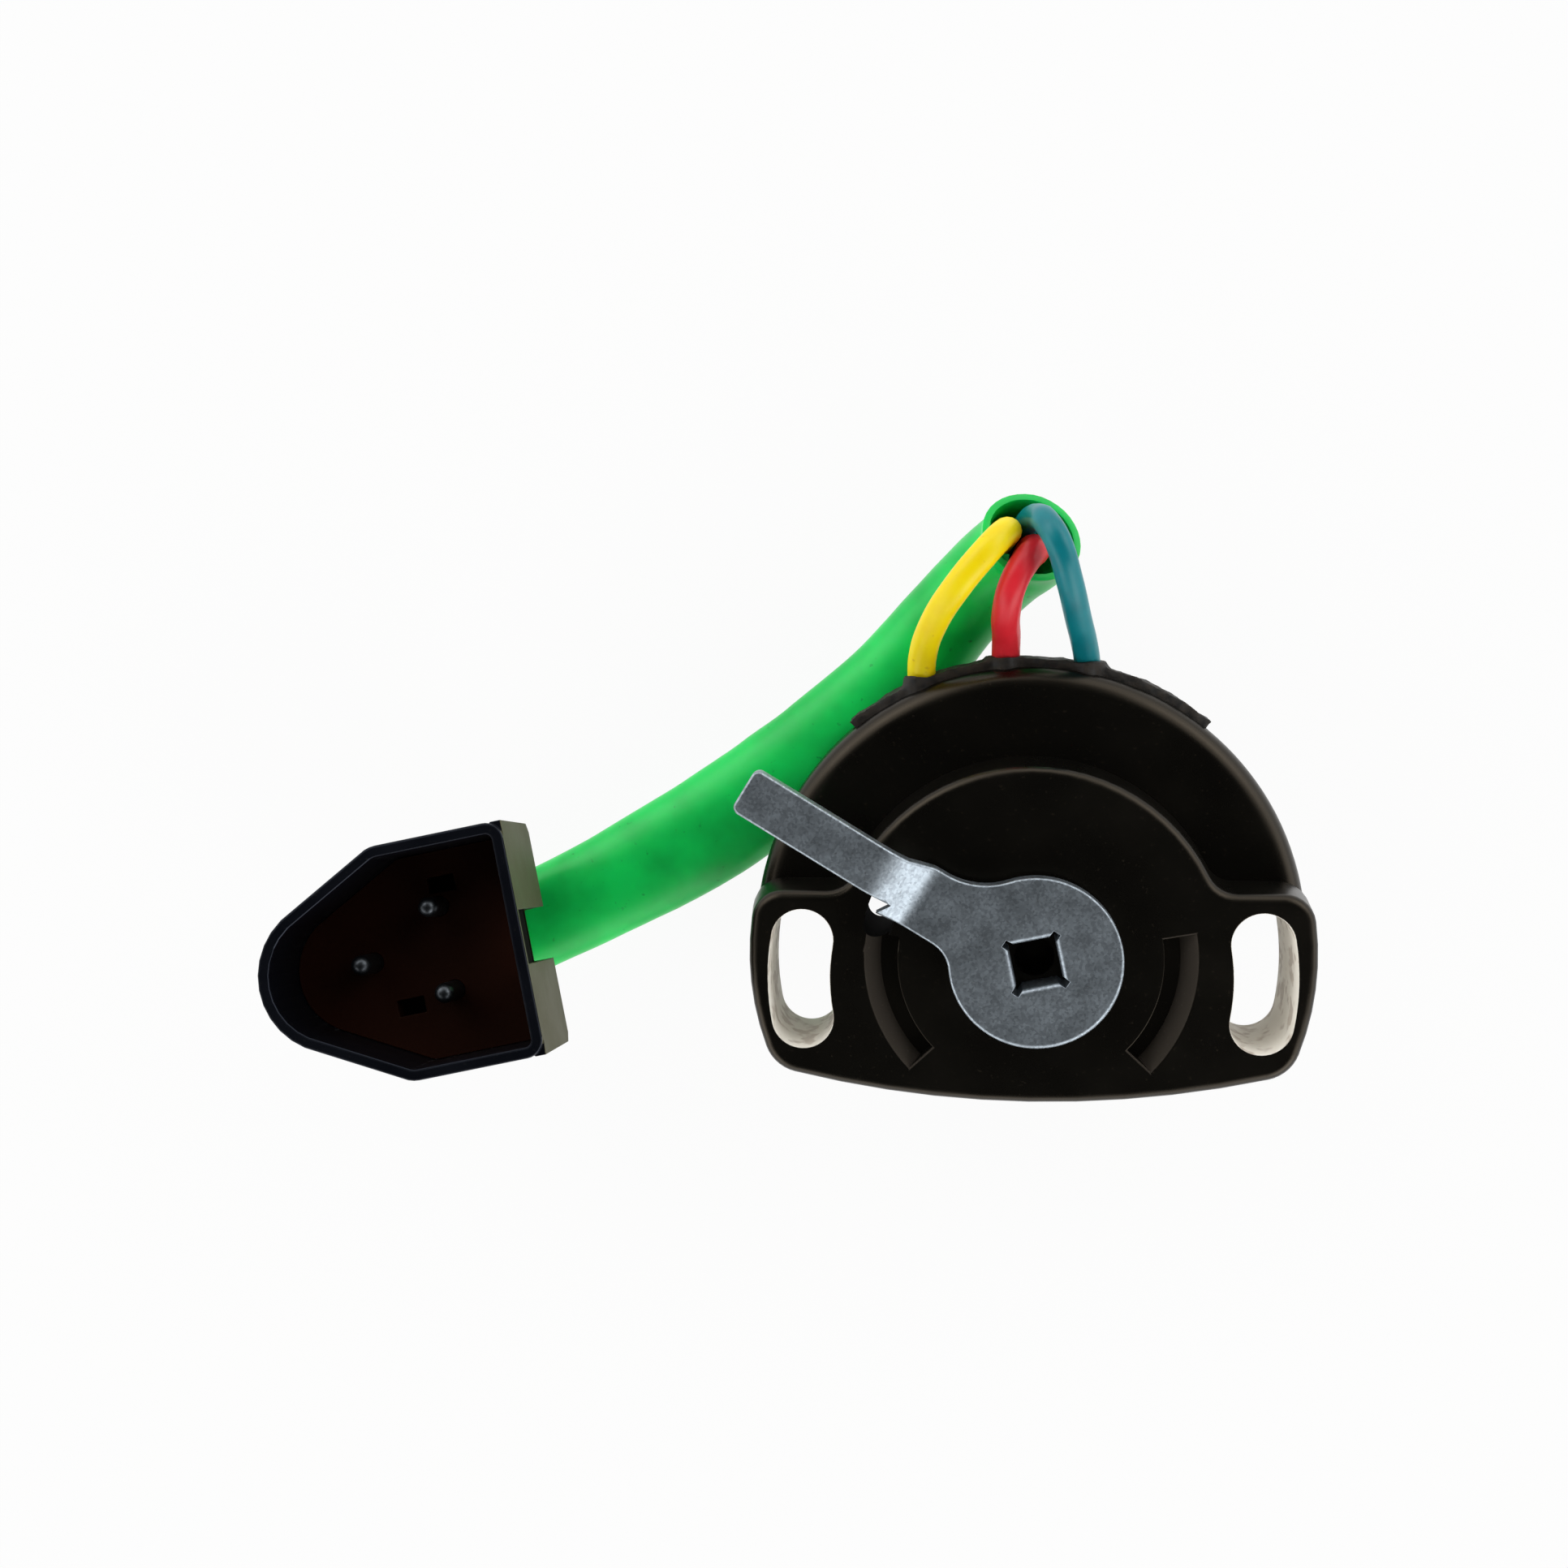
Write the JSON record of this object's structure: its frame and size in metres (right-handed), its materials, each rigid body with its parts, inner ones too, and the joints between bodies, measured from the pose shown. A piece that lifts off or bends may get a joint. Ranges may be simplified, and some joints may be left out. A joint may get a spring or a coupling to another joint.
{
  "type": "throttle position sensor",
  "caption": "Rotary position sensor with two slotted mounting ears, a sprung sheet-metal lever, a sleeved wire lead and a plug.",
  "frame": {"origin": "on the shaft's axis, at the flat rear face of the boss", "axes": "+Z along the shaft out of the front face, +Y from the flat sole edge towards the wire exit, +X towards the right ear"},
  "size_m": [0.0932, 0.0543, 0.0258],
  "materials": {
    "moulded_nylon": "satin moulded, near black",
    "potting_resin": "rough poured resin, dark brown",
    "brass": "plain",
    "seal_rubber": "matte",
    "washer_nylon": "plain",
    "zinc_plated_steel": "dull zinc plate, speckled",
    "spring_steel": "plain",
    "board_laminate": "plain",
    "yellow_wire_jacket": "soft gloss",
    "red_wire_jacket": "soft gloss",
    "teal_wire_jacket": "soft gloss",
    "green_sleeve": "glossy soft tube",
    "plug_plastic": "moulded, half gloss",
    "insert_plastic": "dark red brown",
    "tinned_brass": "bright tin plate"
  },
  "bodies": {
    "case": {"housing": "moulded_nylon", "rear_cover": "moulded_nylon", "potting": "potting_resin", "shaft_bush": "brass", "shaft_seal": "seal_rubber", "thrust_washer": "washer_nylon", "return_spring": "spring_steel", "track_board": "board_laminate", "terminal_left": "brass", "terminal_middle": "brass", "terminal_right": "brass", "yellow_wire": "yellow_wire_jacket", "red_wire": "red_wire_jacket", "teal_wire": "teal_wire_jacket", "sleeve": "green_sleeve", "plug_shell": "plug_plastic", "plug_insert": "insert_plastic", "plug_pin_upper": "tinned_brass", "plug_pin_lower": "tinned_brass", "plug_pin_nose": "tinned_brass", "wire_seal_upper": "seal_rubber", "wire_seal_lower": "seal_rubber", "wire_seal_nose": "seal_rubber"},
    "turning": {"rotor": "moulded_nylon", "lever": "zinc_plated_steel", "wiper": "brass"}
  },
  "joints": [
    {"name": "lever_turn", "type": "hinge", "parent": "case", "child": "turning", "pos_m": [0, 0, 0.01], "axis": [0, 0, 1], "range_deg": [-95, 0], "stiffness_Nm_per_rad": 0.008, "springref_deg": 34.38, "deforming": ["return_spring"]}
  ]
}
